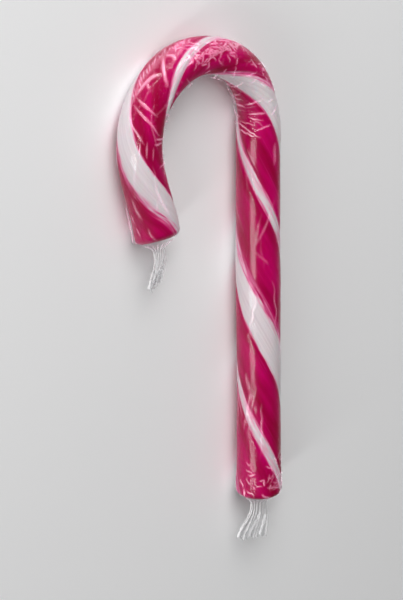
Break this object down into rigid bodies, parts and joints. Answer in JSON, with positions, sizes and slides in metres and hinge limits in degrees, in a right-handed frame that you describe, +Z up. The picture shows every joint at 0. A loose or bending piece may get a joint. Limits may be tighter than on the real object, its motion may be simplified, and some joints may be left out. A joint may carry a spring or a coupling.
{
  "type": "candy cane",
  "caption": "Crook-shaped stick of twisted pink and white pulled sugar in a tight clear film with gathered tails.",
  "frame": {"origin": "under the middle of the whole, on the surface that the cane lies on", "axes": "+Y along the stem towards the crook, +X away from the hook, +Z up out of the crook's plane"},
  "size_m": [0.054, 0.1488, 0.0124],
  "materials": {
    "candy": "glossy pulled sugar, raspberry pink and white bands twisted together",
    "film": "thin clear wrapping film with fine pleats"
  },
  "bodies": {
    "root": {"wrapped_candy_cane": "candy"}
  },
  "joints": []
}
